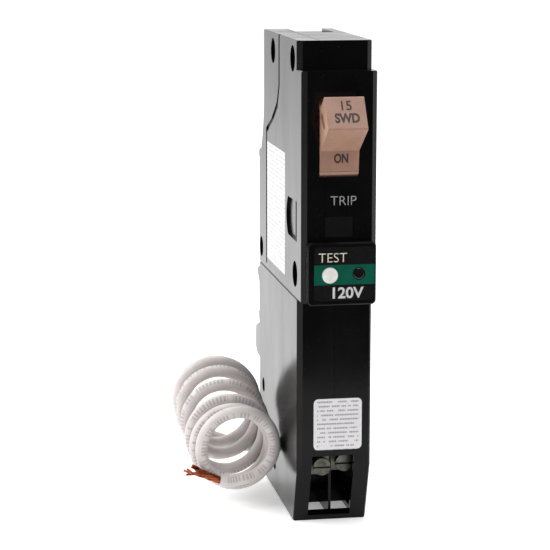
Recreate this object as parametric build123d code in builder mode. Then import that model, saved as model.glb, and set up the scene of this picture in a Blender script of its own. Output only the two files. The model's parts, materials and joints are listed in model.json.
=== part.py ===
"""Single-pole GFCI circuit breaker, 19 mm wide, with a coiled neutral pigtail.

The breaker stands on its load end.  X runs across its width, Y from the handle side (negative)
to the panel side, Z up.  The origin is at the middle of the foot of its bounding box.
Most pieces are drawn with three sizes: X, depth behind the lower front face, and height.
"""
from build123d import *
from math import cos, pi, radians, sin, tan
import os

# Case
WIDTH = 19.0
HEIGHT = 124.3
WALL = 1.4
FRONT = -24.61             # Y of the lower front face
LEFT = -WIDTH / 2
RIGHT = WIDTH / 2
SEAM_LOW = 0.0             # X of the joint between the lower cover and the base
SEAM_HIGH = -3.8           # X of the joint between the upper cover and the base
SEAM_HEIGHT = 59.4         # height where one cover ends and the other begins
NOSE = -5.5                # depth of the nose that shows through the dead front
NOSE_LOW = 59.4
NOSE_HIGH = 117.2
BAND = 1.0                 # depth of the band above the nose
TOP_BACK = 51.0
FOOT_FRONT = 6.0           # depth where the sloping front meets the foot
EDGE = 1.3                 # chamfer along the long front edges
LOW_RIGHT_EDGE = 0.5       # the same on the right of the lower front face
EDGE_BREAK = 0.3           # chamfer on the other outer edges
LABEL = 0.12               # thickness of a printed label
LABEL_MIDDLE = (0.95, 26.9)    # X, height of the rating label on the lower front face
LABEL_SIZE = (12.5, 13.4)
SIDE_LABEL_DEPTH = (18.3, 45.7)
SIDE_LABEL_HEIGHT = (62.6, 94.5)
PARTING = 0.08             # half width of the fine line where two mouldings meet

# Handle and contacts
PIVOT = (8.0, 101.0)       # handle pivot: depth, height
DRUM_RADIUS = 14.0
SKIRT_RADIUS = 16.2        # the skirt slides under the lower edge of its opening at this radius
HANDLE_X = (-5.1, 4.7)
HANDLE_OPENING = (91.2, 110.6)
PIN_RADIUS = 1.5
PIN_FIT = 0.05             # running clearance round a pin
ARM_PIVOT = (30.0, 70.0)
ARM_X = (2.4, 5.6)
CONTACT_HEIGHT = 94.0
CONTACT_RADIUS = 2.0
CRADLE_PIVOT = (16.0, 84.0)
CRADLE_X = (-0.6, 0.8)
LATCH_PIVOT = (42.5, 34.0)

# Test button and indicator
BUTTON_X = -2.9
BUTTON_HEIGHT = 67.0
BUTTON_RADIUS = 2.0
LED_X = 4.4
LED_HEIGHT = 67.3
LED_RADIUS = 1.5
BEZEL_FRONT = -8.3

# Load terminals
TERMINAL_X = (-2.55, 3.95)
TERMINAL_FRONT = (7.9, 11.0)
SCREW_HEIGHT = 15.0
SCREW_TRAVEL = 3.5
LUG_WIDTH = 5.6
LUG_WALL = 0.7
LUG_DEPTH = 9.0
LUG_HEIGHT = (11.7, 18.3)

# Rivets that hold the case together: depth, height, recess radius
RIVETS = ((36.3, 119.5, 3.3), (7.6, 119.5, 3.3), (55.2, 64.2, 2.8))
SHORT_RIVET = (3.9, 65.5, 3.3)
LOW_RIVETS = ((34.0, 8.0, 2.6), (52.0, 25.5, 2.6))

# Neutral pigtail
CORD_DIAMETER = 3.3
CORD_EXIT = (43.5, 10.4)   # depth, height of the hole in the left side
COIL_REAR = (-23.8, 46.8, 23.6, 12.1, 12.3)    # X, depth, height, half width and half height of the rear end
COIL_FRONT = (-21.4, 19.4, 12.4, 11.5, 12.3)   # the same for the front end, which rests on the floor


def side(x):
    """Plane parallel to the case's sides; sketch axes are depth and height."""
    return Plane(origin=(x, FRONT, 0), x_dir=(0, 1, 0), z_dir=(1, 0, 0))


def face(depth):
    """Plane parallel to the front face; sketch axes are X and height, and its normal points forward."""
    return Plane(origin=(0, FRONT + depth, 0), x_dir=(1, 0, 0), z_dir=(0, -1, 0))


def block(x, depth, height, mode=Mode.ADD):
    """A box between two X values, two depths and two heights."""
    middle = (sum(x) / 2, FRONT + sum(depth) / 2, sum(height) / 2)
    with Locations(middle):
        Box(x[1] - x[0], depth[1] - depth[0], height[1] - height[0], mode=mode)


def plate(x, outline, mode=Mode.ADD):
    """A flat piece between two X values, outlined in depth and height."""
    with BuildSketch(side(x[0])) as section:
        with BuildLine():
            Polyline(*outline, close=True)
        make_face()
    extrude(section.sketch, amount=x[1] - x[0], mode=mode)


def cross_rod(x, place, radius, mode=Mode.ADD):
    """A round bar along X at a depth and height."""
    with BuildSketch(side(x[0])) as section:
        with Locations(place):
            Circle(radius)
    extrude(section.sketch, amount=x[1] - x[0], mode=mode)


def deep_rod(x, depth, height, radius, mode=Mode.ADD):
    """A round bar along the depth, from the first depth to the second."""
    with BuildSketch(face(depth[1])) as section:
        with Locations((x, height)):
            Circle(radius)
    extrude(section.sketch, amount=depth[1] - depth[0], mode=mode)


def save(piece, name):
    """Label the piece and write its STEP file."""
    piece.part.label = name
    export_step(piece.part, f"parts/{name}.step")


# ---------------------------------------------------------------- case

def case_outline(x):
    """Side view of the whole case."""
    with BuildSketch(side(x)) as outline:
        with BuildLine():
            Polyline((FOOT_FRONT, 0), (0, 16.7), (0, NOSE_LOW), (NOSE, NOSE_LOW), (NOSE, NOSE_HIGH), (BAND, NOSE_HIGH),
                     (BAND, HEIGHT), (TOP_BACK, HEIGHT), (TOP_BACK, 106.5))
            ThreePointArc((TOP_BACK, 106.5), (52.4, 98.4), (56.0, 91.4))
            Polyline((56.0, 91.4), (59.4, 91.0), (58.3, 58.2), (62.5, 57.2), (62.3, 55.6), (59.4, 53.4),
                     (59.0, 45.6), (60.7, 44.9), (59.2, 42.0), (65.0, 40.2), (65.5, 38.6), (65.5, 34.0),
                     (64.0, 32.2), (58.4, 31.7), (58.8, 19.0), (48.0, 15.5), (48.0, 0), (FOOT_FRONT, 0))
        make_face()
    return outline.sketch


def cavity_outline(x):
    """Side view of the space inside the walls."""
    with BuildSketch(side(x)) as outline:
        with BuildLine():
            Polyline((FOOT_FRONT + 1, WALL), (WALL, 17.2), (WALL, NOSE_LOW + WALL), (NOSE + WALL, NOSE_LOW + WALL),
                     (NOSE + WALL, NOSE_HIGH - WALL), (BAND + WALL, NOSE_HIGH - WALL), (BAND + WALL, HEIGHT - WALL),
                     (TOP_BACK - WALL, HEIGHT - WALL), (TOP_BACK - WALL, 106.3))
            ThreePointArc((TOP_BACK - WALL, 106.3), (51.1, 97.8), (55.0, 89.8))
            Polyline((55.0, 89.8), (57.9, 89.5), (56.8, 57.5), (57.5, 45.0), (56.9, 31.0), (57.4, 20.0),
                     (46.6, 16.5), (46.6, WALL), (FOOT_FRONT + 1, WALL))
        make_face()
    return outline.sketch


def label_outline(depth):
    """Rounded outline of the rating label."""
    with BuildSketch(face(depth)) as outline:
        with Locations(LABEL_MIDDLE):
            RectangleRounded(*LABEL_SIZE, 1.2)
    return outline.sketch


def front_openings(mode):
    """Handle opening, trip window, button and lens holes, label recess and terminal recess."""
    extrude(label_outline(LABEL), amount=1, mode=mode)
    low, high = HANDLE_OPENING
    block((-5.4, 5.0), (NOSE - 1, NOSE + 4), (low, high), mode)
    plate((-5.4, 5.0), ((NOSE, low), (NOSE + 3, low - 3), (NOSE + 3, low)), mode)
    block((-3.7, 3.5), (NOSE - 1, NOSE + 4), (76.0, 81.3), mode)
    deep_rod(BUTTON_X, (NOSE - 1, NOSE + 4), BUTTON_HEIGHT, BUTTON_RADIUS + 0.1, mode)
    deep_rod(LED_X, (NOSE - 1, NOSE + 4), LED_HEIGHT, LED_RADIUS + 0.1, mode)
    block((-5.7, 5.3), (-1, 21.4), (WALL, 18.6), mode)
    block((-5.7, 6.6), (10.4, 21.4), (-1, WALL), mode)


def parting_lines(mode):
    """Fine lines down the front and over the top where the mouldings meet."""
    high = (SEAM_HIGH - PARTING, SEAM_HIGH + PARTING)
    low = (SEAM_LOW - PARTING, SEAM_LOW + PARTING)
    block(high, (NOSE - 1, NOSE + 2 * PARTING), (NOSE_LOW, NOSE_HIGH), mode)
    block(high, (BAND - 1, BAND + 2 * PARTING), (NOSE_HIGH, HEIGHT), mode)
    block(high, (BAND, TOP_BACK + 1), (HEIGHT - 2 * PARTING, HEIGHT), mode)
    block(high, (TOP_BACK - 2 * PARTING, TOP_BACK + 1), (106.5, HEIGHT), mode)
    block(low, (-1, 2 * PARTING), (17, SEAM_HEIGHT), mode)


def soften_edges(part, x):
    """Chamfer the long front edges at this X, and break the other outer edges of that side."""
    for depth, size in ((0, LOW_RIGHT_EDGE if x > 0 else EDGE), (NOSE, EDGE), (BAND, EDGE)):
        at_side = part.edges().filter_by_position(Axis.X, x - 0.01, x + 0.01)
        at_depth = at_side.filter_by_position(Axis.Y, FRONT + depth - 0.1, FRONT + depth + 0.1)
        if at_depth.filter_by(Axis.Z):
            chamfer(at_depth.filter_by(Axis.Z), size)
    at_side = part.edges().filter_by_position(Axis.X, x - 0.01, x + 0.01)
    chamfered = at_side.filter_by(Axis.Z).filter_by_position(Axis.Y, FRONT + NOSE - 0.1, FRONT + BAND + EDGE + 0.1)
    chamfer([edge for edge in at_side if edge not in chamfered], EDGE_BREAK)


def base_shell():
    """Right-hand moulding: carries every working piece."""
    with BuildPart() as shell:
        extrude(case_outline(SEAM_LOW), amount=RIGHT - SEAM_LOW)
        extrude(case_outline(SEAM_HIGH), amount=SEAM_LOW - SEAM_HIGH)
        block((SEAM_HIGH - 1, SEAM_LOW), (-10, 70), (-1, SEAM_HEIGHT), Mode.SUBTRACT)
        soften_edges(shell, RIGHT)
        extrude(cavity_outline(SEAM_HIGH - 1), amount=RIGHT - WALL - SEAM_HIGH + 1, mode=Mode.SUBTRACT)
        # Terminal chamber: ceiling, rear wall and the rib between the two terminals
        block((SEAM_LOW, RIGHT - WALL), (WALL, 16.0), (18.6, 19.8))
        block((SEAM_LOW, RIGHT - WALL), (21.4, 22.6), (WALL, 19.8))
        front_openings(Mode.SUBTRACT)
        parting_lines(Mode.SUBTRACT)
        block((0.4, 1.1), (9.2, 21.4), (0, 18.6))
        # Step in the top at the rear
        block((-3.0, 6.5), (34.0, 52.0), (HEIGHT - 0.7, HEIGHT + 1), Mode.SUBTRACT)
        # Mouth for the bus stab
        block((0.4, 6.6), (45, 60), (97.0, 117.0), Mode.SUBTRACT)
        for depth, height, radius in RIVETS:
            cross_rod((SEAM_HIGH, RIGHT - WALL), (depth, height), min(radius, 2.6))
            cross_rod((SEAM_HIGH - 1, RIGHT + 1), (depth, height), 1.15, Mode.SUBTRACT)
        for depth, height, radius in LOW_RIVETS:
            cross_rod((SEAM_LOW, RIGHT - WALL), (depth, height), radius)
            cross_rod((SEAM_LOW - 1, RIGHT + 1), (depth, height), 1.15, Mode.SUBTRACT)
    save(shell, "base_shell")


def upper_cover():
    """Left-hand moulding over the electronics, with the rivet recesses and the side markings' relief."""
    with BuildPart() as cover:
        extrude(case_outline(LEFT), amount=SEAM_HIGH - LEFT)
        block((LEFT - 1, RIGHT), (-10, 70), (-1, SEAM_HEIGHT), Mode.SUBTRACT)
        soften_edges(cover, LEFT)
        extrude(cavity_outline(LEFT + WALL), amount=WIDTH, mode=Mode.SUBTRACT)
        front_openings(Mode.SUBTRACT)
        parting_lines(Mode.SUBTRACT)
        for depth, height, radius in RIVETS:
            cross_rod((LEFT + WALL, SEAM_HIGH), (depth, height), radius + 0.7)
        cross_rod((LEFT + WALL, LEFT + 4.3), SHORT_RIVET[:2], SHORT_RIVET[2] + 0.7)
        block((LEFT - 1, RIGHT), (58.4, 70), (SEAM_HEIGHT, 89.0), Mode.SUBTRACT)
        for depth, height, radius in RIVETS + (SHORT_RIVET,):
            cross_rod((LEFT - 1, LEFT + 3.2), (depth, height), radius, Mode.SUBTRACT)
            cross_rod((LEFT, SEAM_HIGH + 1), (depth, height), 1.15, Mode.SUBTRACT)
        block((LEFT, LEFT + LABEL), SIDE_LABEL_DEPTH, SIDE_LABEL_HEIGHT, Mode.SUBTRACT)
        # Finger recess with a straight front edge, and a line along that edge
        block((LEFT, LEFT + 0.3), (1.6, 3.0), (74.0, 84.2), Mode.SUBTRACT)
        with BuildSketch(side(LEFT)) as recess:
            with BuildLine():
                Polyline((13.8, 74.2), (3.3, 74.0), (3.3, 84.2), (13.8, 84.0))
                ThreePointArc((13.8, 84.0), (16.2, 79.1), (13.8, 74.2))
            make_face()
        extrude(recess.sketch, amount=0.7, mode=Mode.SUBTRACT)
        # Sunk lines of the cover's raised field
        sunk = (LEFT, LEFT + 0.4)
        block(sunk, (45.9, 47.4), (61.0, 98.0), Mode.SUBTRACT)
        block(sunk, (26.4, 28.0), (111.0, HEIGHT), Mode.SUBTRACT)
        plate(sunk, ((26.4, 111.0), (29.4, 105.2), (37.8, 100.0), (45.9, 97.0), (47.4, 98.0), (38.8, 101.4),
                     (30.7, 106.4), (28.0, 111.0)), Mode.SUBTRACT)
    save(cover, "upper_cover")


def lower_cover():
    """Left-hand moulding over the terminals and the load end."""
    with BuildPart() as cover:
        extrude(case_outline(LEFT), amount=SEAM_LOW - LEFT)
        block((LEFT - 1, RIGHT), (-10, 70), (SEAM_HEIGHT, HEIGHT + 1), Mode.SUBTRACT)
        soften_edges(cover, LEFT)
        extrude(cavity_outline(LEFT + WALL), amount=WIDTH, mode=Mode.SUBTRACT)
        block((LEFT + WALL, SEAM_LOW), (WALL, 16.0), (18.6, 19.8))
        block((LEFT + WALL, SEAM_LOW), (21.4, 22.6), (WALL, 19.8))
        front_openings(Mode.SUBTRACT)
        parting_lines(Mode.SUBTRACT)
        for depth, height, radius in LOW_RIVETS:
            cross_rod((LEFT + WALL, SEAM_LOW), (depth, height), radius)
            cross_rod((LEFT - 1, LEFT + 1.0), (depth, height), 2.0, Mode.SUBTRACT)
            cross_rod((LEFT, SEAM_LOW + 1), (depth, height), 1.15, Mode.SUBTRACT)
        cross_rod((LEFT - 1, LEFT + WALL + 1), CORD_EXIT, 2.7, Mode.SUBTRACT)
    save(cover, "lower_cover")


def divider():
    """Insulating sheet between the circuit board and the mechanism."""
    with BuildPart() as sheet:
        plate((-4.2, -3.9), ((9.5, 61.5), (9.5, 86.0), (24.0, 86.0), (24.0, 96.0), (45.0, 96.0), (45.0, 61.5)))
    save(sheet, "divider_sheet")


def rivets():
    """Steel rivets through the bosses, set in the recesses of the covers."""
    with BuildPart() as group:
        for depth, height, _ in RIVETS:
            cross_rod((LEFT + 3.2, RIGHT), (depth, height), 1.1)
            cross_rod((LEFT + 2.5, LEFT + 3.2), (depth, height), 2.0)
        for depth, height, _ in LOW_RIVETS:
            cross_rod((LEFT + 1.0, RIGHT), (depth, height), 1.1)
            cross_rod((LEFT + 0.4, LEFT + 1.0), (depth, height), 1.7)
        cross_rod((LEFT + 3.2, LEFT + 5.0), SHORT_RIVET[:2], 1.1)
        cross_rod((LEFT + 2.5, LEFT + 3.2), SHORT_RIVET[:2], 2.0)
    save(group, "rivets")


# ---------------------------------------------------------------- front details

def bezel():
    """Raised block that frames the test button and the indicator."""
    with BuildPart() as block_piece:
        with BuildSketch(face(NOSE)) as outline:
            with Locations((0.1, (NOSE_LOW + 75.2) / 2)):
                RectangleRounded(17.4, 75.2 - NOSE_LOW, 1.2)
        extrude(outline.sketch, amount=NOSE - BEZEL_FRONT)
        front = block_piece.faces().sort_by(Axis.Y)[0]
        chamfer(front.edges(), 0.35)
        with BuildSketch(face(BEZEL_FRONT)) as pocket:
            with Locations((0.75, 67.3)):
                RectangleRounded(15.5, 13.8, 1.1)
        extrude(pocket.sketch, amount=-0.3, mode=Mode.SUBTRACT)
        deep_rod(BUTTON_X, (BEZEL_FRONT - 1, NOSE), BUTTON_HEIGHT, BUTTON_RADIUS + 0.1, Mode.SUBTRACT)
        deep_rod(LED_X, (BEZEL_FRONT - 1, NOSE), LED_HEIGHT, LED_RADIUS + 0.1, Mode.SUBTRACT)
    save(block_piece, "test_bezel")


def nameplate():
    """Printed label in the bezel's pocket."""
    with BuildPart() as label:
        with BuildSketch(face(BEZEL_FRONT + 0.3)) as sheet:
            with Locations((0.75, 67.3)):
                RectangleRounded(15.3, 13.6, 1.0)
            with Locations((BUTTON_X, BUTTON_HEIGHT)):
                Circle(BUTTON_RADIUS + 0.1, mode=Mode.SUBTRACT)
            with Locations((LED_X, LED_HEIGHT)):
                Circle(LED_RADIUS + 0.1, mode=Mode.SUBTRACT)
        extrude(sheet.sketch, amount=0.15)
    save(label, "nameplate_label")


def test_button():
    """White push button with a flange behind the nose wall and a stem to the switch."""
    with BuildPart() as button:
        deep_rod(BUTTON_X, (BEZEL_FRONT - 0.25, -3.9), BUTTON_HEIGHT, BUTTON_RADIUS)
        front = button.faces().sort_by(Axis.Y)[0]
        fillet(front.edges(), 0.3)
        deep_rod(BUTTON_X, (-3.9, -3.2), BUTTON_HEIGHT, 2.7)
        deep_rod(BUTTON_X, (-3.2, 0.2), BUTTON_HEIGHT, 1.0)
    save(button, "test_button")


def coil_spring(name, start, along, radius, pitch, wire):
    """A small helical spring from a start point, as long as its direction vector."""
    with BuildPart() as spring:
        with BuildLine() as path:
            Helix(pitch=pitch, height=along.length, radius=radius, center=start, direction=along)
        with BuildSketch(Plane(origin=path.line @ 0, z_dir=path.line % 0)):
            Circle(wire / 2)
        sweep()
    save(spring, name)


def button_spring():
    """Return spring round the button's stem."""
    seat = Vector(BUTTON_X, FRONT - 2.9, BUTTON_HEIGHT)
    coil_spring("button_spring", seat, Vector(0, 5.5, 0), 1.75, 1.1, 0.4)


def switch_board():
    """Small board behind the button, with the push switch and the indicator."""
    with BuildPart() as board:
        block((-3.3, 7.6), (3.0, 3.8), (61.5, 72.6))
    save(board, "switch_board")
    with BuildPart() as switch:
        deep_rod(BUTTON_X, (2.1, 3.0), BUTTON_HEIGHT, 1.25)
    save(switch, "push_switch")
    with BuildPart() as led:
        deep_rod(LED_X, (-1.5, 2.6), LED_HEIGHT, 1.5)
        deep_rod(LED_X, (2.6, 3.0), LED_HEIGHT, 1.8)
    save(led, "indicator_led")
    with BuildPart() as lens:
        deep_rod(LED_X, (BEZEL_FRONT + 0.1, -1.7), LED_HEIGHT, LED_RADIUS)
        front = lens.faces().sort_by(Axis.Y)[0]
        fillet(front.edges(), 0.4)
        deep_rod(LED_X, (-3.9, -3.1), LED_HEIGHT, 2.0)
    save(lens, "light_pipe")


def trip_window():
    """Smoked window over the trip indicator."""
    with BuildPart() as window:
        block((-3.6, 3.4), (NOSE + 0.25, NOSE + WALL), (76.1, 81.2))
        block((-3.7, 4.2), (NOSE + WALL, NOSE + WALL + 0.5), (75.2, 82.0))
    save(window, "trip_window")


def labels():
    """Rating label on the lower front face and data label on the left side."""
    with BuildPart() as rating:
        extrude(label_outline(LABEL), amount=LABEL)
    save(rating, "front_label")
    with BuildPart() as data:
        block((LEFT, LEFT + LABEL), SIDE_LABEL_DEPTH, SIDE_LABEL_HEIGHT)
    save(data, "side_label")


# ---------------------------------------------------------------- handle and mechanism

def on_arc(radius, degrees):
    """Point at an angle round the handle's pivot, from straight back."""
    return (PIVOT[0] + radius * cos(radians(degrees)), PIVOT[1] + radius * sin(radians(degrees)))


def handle():
    """Rocking handle: a drum on the pivot with the finger lever in front."""
    with BuildPart() as lever:
        cross_rod((-4.9, 4.5), PIVOT, DRUM_RADIUS)
        plate((-4.9, 4.5), ((8, 84), (30, 84), (30, 116), (8, 116), (12, 101)), Mode.SUBTRACT)
        cross_rod((-4.9, 4.5), PIVOT, 4.2)
        plate(HANDLE_X, ((-2.0, 92.0), (-5.6, 92.2), (-6.3, 97.7), (-16.5, 104.0), (-11.0, 111.6), (-5.4, 107.4),
                         (-2.0, 106.0)))
        # Skirt that carries on below the lever, round the pivot
        with BuildSketch(side(HANDLE_X[0])) as skirt:
            with BuildLine():
                CenterArc(PIVOT, SKIRT_RADIUS, 212, 18)
                CenterArc(PIVOT, SKIRT_RADIUS - 2.2, 212, 18)
                Line(on_arc(SKIRT_RADIUS, 212), on_arc(SKIRT_RADIUS - 2.2, 212))
                Line(on_arc(SKIRT_RADIUS, 230), on_arc(SKIRT_RADIUS - 2.2, 230))
            make_face()
        extrude(skirt.sketch, amount=HANDLE_X[1] - HANDLE_X[0])
        tips = lever.edges().filter_by(Axis.X).filter_by_position(Axis.Y, FRONT - 17, FRONT - 10)
        fillet(tips, 0.5)
        with BuildSketch(side(HANDLE_X[0])) as pocket:
            with Locations(Location((-9.4, 105.4), 35)):
                SlotOverall(5.4, 2.0)
        extrude(pocket.sketch, amount=0.5, mode=Mode.SUBTRACT)
        cross_rod((-6, 6), PIVOT, PIN_RADIUS + PIN_FIT, Mode.SUBTRACT)
    save(lever, "handle")
    with BuildPart() as pin:
        cross_rod((-7.0, RIGHT - WALL), PIVOT, PIN_RADIUS)
    save(pin, "handle_pin")


def contact_arm():
    """Moving contact arm with its silver contact and pivot pin."""
    depth, height = ARM_PIVOT
    with BuildPart() as arm:
        plate(ARM_X, ((depth - 1.1, height), (depth - 1.1, CONTACT_HEIGHT + 2.6), (depth + 0.9, CONTACT_HEIGHT + 2.6),
                      (depth + 0.9, height)))
        cross_rod(ARM_X, ARM_PIVOT, 2.9)
        cross_rod((ARM_X[0] - 1, ARM_X[1] + 1), ARM_PIVOT, 1.2 + PIN_FIT, Mode.SUBTRACT)
    save(arm, "contact_arm")
    with BuildPart() as tip:
        deep_rod(sum(ARM_X) / 2, (depth + 0.9, depth + 1.9), CONTACT_HEIGHT, CONTACT_RADIUS - 0.4)
    save(tip, "moving_contact")
    with BuildPart() as pin:
        cross_rod((0.9, RIGHT - WALL), ARM_PIVOT, 1.2)
    save(pin, "arm_pin")


def toggle_spring():
    """Tension spring that snaps the contact arm over centre."""
    foot = Vector(1.65, FRONT + 28.4, 77.0)
    along = Vector(0, -14.0, 12.0)
    coil_spring("toggle_spring", foot, along, 0.45, 0.62, 0.3)


def cradle():
    """Trip lever: held by the latch, and carries the trip flag."""
    depth, height = CRADLE_PIVOT
    with BuildPart() as lever:
        plate(CRADLE_X, ((depth - 2.2, height - 2.4), (depth - 1.6, height + 2.2), (depth + 2.0, height + 2.2),
                         (41.6, 65.2), (41.6, 62.0), (38.6, 62.0)))
        cross_rod((CRADLE_X[0] - 1, CRADLE_X[1] + 1), CRADLE_PIVOT, 1.2 + PIN_FIT, Mode.SUBTRACT)
    save(lever, "cradle")
    with BuildPart() as flag:
        plate(CRADLE_X, ((13.7, 82.4), (13.7, 80.2), (0.2, 73.6), (-0.8, 72.4), (-0.8, 76.0)))
        block((-3.2, 3.2), (-1.4, -0.6), (72.0, 76.4))
    save(flag, "trip_flag")
    with BuildPart() as pin:
        cross_rod((-3.2, RIGHT - WALL), CRADLE_PIVOT, 1.2)
    save(pin, "cradle_pin")


def latch():
    """Armature plate that holds the cradle and is pulled by the magnet."""
    depth, height = LATCH_PIVOT
    with BuildPart() as armature:
        block((-1.5, 5.5), (depth - 0.5, depth + 0.5), (height, 66.0))
        block((-0.9, 1.1), (depth - 1, depth + 1), (61.4, 64.6), Mode.SUBTRACT)
        cross_rod((-1.5, 5.5), LATCH_PIVOT, 1.6)
        cross_rod((-2.5, 6.5), LATCH_PIVOT, 0.8 + PIN_FIT, Mode.SUBTRACT)
    save(armature, "latch_armature")
    with BuildPart() as pin:
        cross_rod((-2.9, RIGHT - WALL), LATCH_PIVOT, 0.8)
    save(pin, "latch_pin")


# ---------------------------------------------------------------- line side

def line_terminal():
    """Bus-stab jaw, its spring clip, the line strap and the fixed contact."""
    with BuildPart() as jaw:
        for x in ((1.3, 2.3), (4.7, 5.7)):
            block(x, (38.0, 47.0), (99.5, 114.5))
        block((1.3, 5.7), (37.0, 38.0), (99.5, 114.5))
    save(jaw, "line_jaw")
    with BuildPart() as clip:
        for x in ((0.7, 1.2), (5.8, 6.3)):
            block(x, (36.9, 44.0), (103.0, 111.0))
        block((0.7, 6.3), (36.4, 36.9), (103.0, 111.0))
    save(clip, "jaw_spring")
    with BuildPart() as strap:
        block((2.2, 5.8), (33.0, 34.0), (90.0, 100.6))
        block((2.2, 5.8), (34.0, 37.0), (99.6, 100.6))
    save(strap, "line_strap")
    with BuildPart() as contact:
        deep_rod(sum(ARM_X) / 2, (32.0, 33.0), CONTACT_HEIGHT, CONTACT_RADIUS)
    save(contact, "fixed_contact")


def arc_chute():
    """Steel arc plates with a notch for the arm's tip, between two fibre sides."""
    with BuildPart() as plates:
        for depth in (23.6, 25.4, 27.2, 29.0, 30.8):
            block((0.7, 7.3), (depth, depth + 0.7), (99.0, 112.0))
            block((2.2, 5.8), (depth - 0.1, depth + 0.8), (98.0, 102.5), Mode.SUBTRACT)
    save(plates, "arc_plates")
    with BuildPart() as sides:
        for x in ((0.2, 0.7), (7.3, 7.8)):
            block(x, (23.0, 32.2), (98.6, 112.4))
    save(sides, "arc_chute_sides")


# ---------------------------------------------------------------- trip unit and load side

def trip_unit():
    """Bimetal, magnet yoke, calibration screw and the flexible braid."""
    with BuildPart() as strip:
        block((2.0, 6.0), (47.0, 47.8), (27.0, 59.0))
    save(strip, "bimetal")
    with BuildPart() as yoke:
        block((0.6, 7.4), (49.0, 50.2), (38.0, 48.0))
        for x in ((0.6, 1.6), (6.4, 7.4)):
            block(x, (45.0, 49.0), (38.0, 48.0))
    save(yoke, "magnet_yoke")
    with BuildPart() as screw:
        deep_rod(4.0, (47.9, 54.6), 31.5, 1.1)
        deep_rod(4.0, (54.6, 56.0), 31.5, 1.9)
        block((3.7, 4.3), (55.3, 56.5), (29, 34), Mode.SUBTRACT)
    save(screw, "calibration_screw")
    with BuildPart() as braid:
        with BuildLine() as path:
            FilletPolyline((6.6, FRONT + 31.5, 74.5), (6.6, FRONT + 38.4, 64.0), (6.6, FRONT + 38.8, 47.0),
                           (6.6, FRONT + 39.4, 33.5), (6.6, FRONT + 47.4, 27.8), radius=4)
        with BuildSketch(Plane(origin=path.line @ 0, z_dir=path.line % 0)):
            Circle(0.6)
        sweep()
    save(braid, "flexible_braid")


def solenoid():
    """Electronic trip solenoid: frame, coil on its bobbin, and plunger."""
    axis = (3.3, 55.0)
    with BuildPart() as frame:
        block((-0.6, 7.2), (18.0, 18.8), (50.6, 57.3))
        block((-0.6, 7.2), (35.2, 36.0), (50.6, 57.3))
        block((-0.6, 7.2), (18.0, 36.0), (49.8, 50.6))
        deep_rod(axis[0], (17, 37), axis[1], 1.55, Mode.SUBTRACT)
    save(frame, "solenoid_frame")
    with BuildPart() as bobbin:
        deep_rod(axis[0], (18.9, 19.7), axis[1], 3.9)
        deep_rod(axis[0], (34.3, 35.1), axis[1], 3.9)
        deep_rod(axis[0], (19.7, 34.3), axis[1], 2.1)
        deep_rod(axis[0], (18, 36), axis[1], 1.55, Mode.SUBTRACT)
    save(bobbin, "solenoid_bobbin")
    with BuildPart() as winding:
        deep_rod(axis[0], (19.8, 34.2), axis[1], 3.6)
        deep_rod(axis[0], (19, 35), axis[1], 2.15, Mode.SUBTRACT)
    save(winding, "solenoid_winding")
    with BuildPart() as plunger:
        deep_rod(axis[0], (22.0, 38.0), axis[1], 1.45)
        deep_rod(axis[0], (38.0, 41.4), axis[1], 1.0)
    save(plunger, "solenoid_plunger")


def terminal(number):
    """One load terminal: box lug, clamping pad and slotted screw."""
    x = TERMINAL_X[number - 1]
    front = TERMINAL_FRONT[number - 1]
    half = LUG_WIDTH / 2
    with BuildPart() as lug:
        block((x - half, x + half), (front, front + LUG_DEPTH), LUG_HEIGHT)
        block((x - half + LUG_WALL, x + half - LUG_WALL), (front + 1.0, front + LUG_DEPTH - LUG_WALL), (0, 30),
              Mode.SUBTRACT)
        deep_rod(x, (front - 1, front + 2), SCREW_HEIGHT, 1.55, Mode.SUBTRACT)
    save(lug, f"terminal_lug_{number}")
    with BuildPart() as screw:
        deep_rod(x, (front - 5.2, front - SCREW_TRAVEL - 0.15), SCREW_HEIGHT, 2.25)
        block((x - 3, x + 3), (front - 5.3, front - 4.5), (SCREW_HEIGHT - 0.35, SCREW_HEIGHT + 0.35), Mode.SUBTRACT)
        deep_rod(x, (front - SCREW_TRAVEL - 0.15, front + 1.5), SCREW_HEIGHT, 1.5)
    save(screw, f"terminal_screw_{number}")
    with BuildPart() as pad:
        block((x - 1.9, x + 1.9), (front + 1.6, front + 2.3), (12.4, 17.6))
    save(pad, f"clamp_pad_{number}")


def straps():
    """Copper straps from the terminals, through the current transformer."""
    lug_back = TERMINAL_FRONT[0] + LUG_DEPTH
    with BuildPart() as load:
        block((-3.9, -1.9), (lug_back, lug_back + 0.8), (12.5, 23.9))
        block((-3.9, -1.9), (lug_back + 0.8, 44.0), (23.1, 23.9))
        block((-3.9, 6.0), (44.0, 45.0), (23.1, 26.6))
        block((2.0, 6.0), (45.0, 47.8), (25.8, 26.6))
    save(load, "load_strap")
    lug_back = TERMINAL_FRONT[1] + LUG_DEPTH
    with BuildPart() as neutral:
        block((2.9, 4.9), (lug_back, lug_back + 0.8), (12.5, 23.9))
        block((-1.1, 4.9), (lug_back + 0.8, 23.4), (23.1, 23.9))
        block((-1.1, 0.9), (23.4, 40.0), (23.1, 23.9))
    save(neutral, "neutral_strap")


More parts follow.
